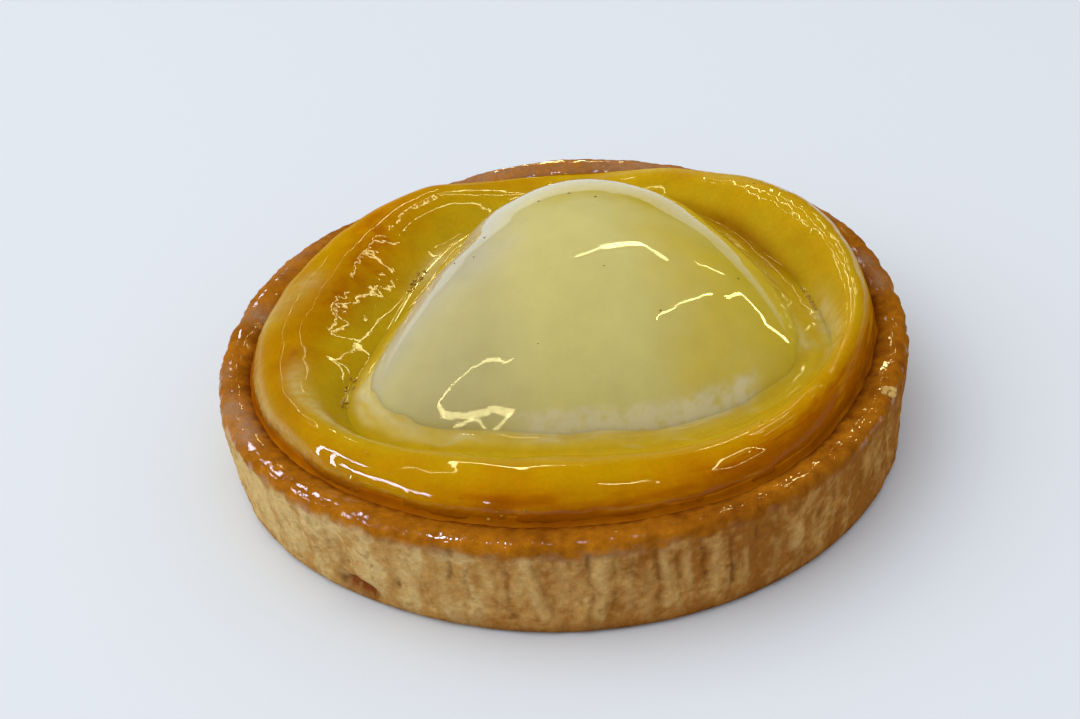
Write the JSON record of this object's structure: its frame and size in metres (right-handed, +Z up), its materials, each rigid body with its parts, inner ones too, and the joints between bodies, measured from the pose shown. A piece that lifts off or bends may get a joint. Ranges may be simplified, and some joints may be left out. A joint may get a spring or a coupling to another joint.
{
  "type": "pear almond tartlet",
  "caption": "Round glazed shortcrust tartlet with a puffed ring of golden almond filling round half a pear lying cut side down.",
  "frame": {"origin": "middle of the tartlet's outline, on the surface that it stands on", "axes": "+Z up; the fat end of the pear points to -Y and its neck to +Y"},
  "size_m": [0.0992, 0.1006, 0.0356],
  "materials": {
    "pastry": "baked shortcrust, matt on the wall, glazed and browned on the rim",
    "filling": "golden baked almond filling under clear glaze",
    "pear": "pale poached pear under clear glaze"
  },
  "bodies": {
    "root": {"pastry_case": "pastry", "almond_filling": "filling", "pear_half": "pear"}
  },
  "joints": []
}
